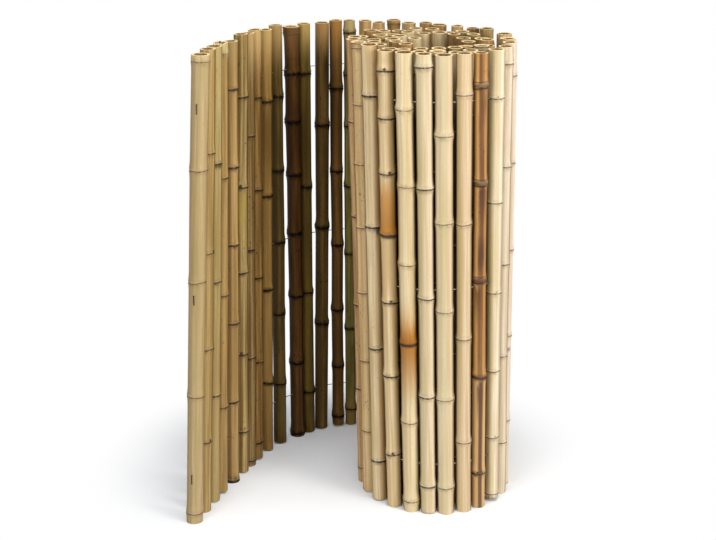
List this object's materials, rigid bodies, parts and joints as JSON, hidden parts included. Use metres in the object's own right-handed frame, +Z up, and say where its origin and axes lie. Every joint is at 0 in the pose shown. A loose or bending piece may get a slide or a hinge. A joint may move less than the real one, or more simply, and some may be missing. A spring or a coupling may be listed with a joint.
{
  "type": "bamboo fence panel",
  "caption": "Free-standing bamboo fence panel, partly rolled up: whole round canes drilled and threaded on steel wires.",
  "frame": {"origin": "centre of the bounding box, at the ground the canes stand on", "axes": "+Z up along the canes, +X to the right and -Y to the front, as the picture shows the panel"},
  "size_m": [0.7106, 0.5286, 1.009],
  "materials": {
    "pale_bamboo": "dry cream bamboo skin, satin",
    "golden_bamboo": "golden tan bamboo skin, satin",
    "brown_bamboo": "brown mottled bamboo skin, satin",
    "olive_bamboo": "olive bamboo skin, satin",
    "galvanised_wire": "dull zinc"
  },
  "bodies": {
    "root": {"cane_01": "golden_bamboo", "cane_02": "golden_bamboo", "cane_03": "olive_bamboo", "cane_04": "golden_bamboo", "cane_05": "golden_bamboo", "cane_06": "pale_bamboo", "cane_07": "golden_bamboo", "cane_08": "golden_bamboo", "cane_09": "olive_bamboo", "cane_10": "olive_bamboo", "cane_11": "brown_bamboo", "cane_12": "olive_bamboo", "cane_13": "brown_bamboo", "cane_14": "brown_bamboo", "cane_15": "olive_bamboo", "cane_16": "pale_bamboo", "cane_17": "pale_bamboo", "cane_18": "golden_bamboo", "cane_19": "pale_bamboo", "cane_20": "pale_bamboo", "cane_21": "golden_bamboo", "cane_22": "pale_bamboo", "cane_23": "brown_bamboo", "cane_24": "olive_bamboo", "cane_25": "pale_bamboo", "cane_26": "pale_bamboo", "cane_27": "pale_bamboo", "cane_28": "pale_bamboo", "cane_29": "pale_bamboo", "cane_30": "pale_bamboo", "cane_31": "brown_bamboo", "cane_32": "pale_bamboo", "cane_33": "pale_bamboo", "cane_34": "pale_bamboo", "cane_35": "golden_bamboo", "cane_36": "pale_bamboo", "cane_37": "golden_bamboo", "cane_38": "pale_bamboo", "cane_39": "pale_bamboo", "cane_40": "pale_bamboo", "cane_41": "golden_bamboo", "cane_42": "pale_bamboo", "cane_43": "pale_bamboo", "cane_44": "brown_bamboo", "cane_45": "pale_bamboo", "cane_46": "golden_bamboo", "canes_47_to_49": "pale_bamboo", "canes_50_to_52": "pale_bamboo", "canes_53_to_55": "pale_bamboo", "canes_56_to_58": "pale_bamboo", "canes_59_to_61": "pale_bamboo", "canes_62_to_64": "pale_bamboo", "canes_65_to_67": "pale_bamboo", "canes_68_to_70": "pale_bamboo", "canes_71_to_73": "pale_bamboo", "canes_74_to_76": "pale_bamboo", "canes_77_to_79": "pale_bamboo", "low_wire": "galvanised_wire", "middle_wire": "galvanised_wire", "top_wire": "galvanised_wire"}
  },
  "joints": []
}
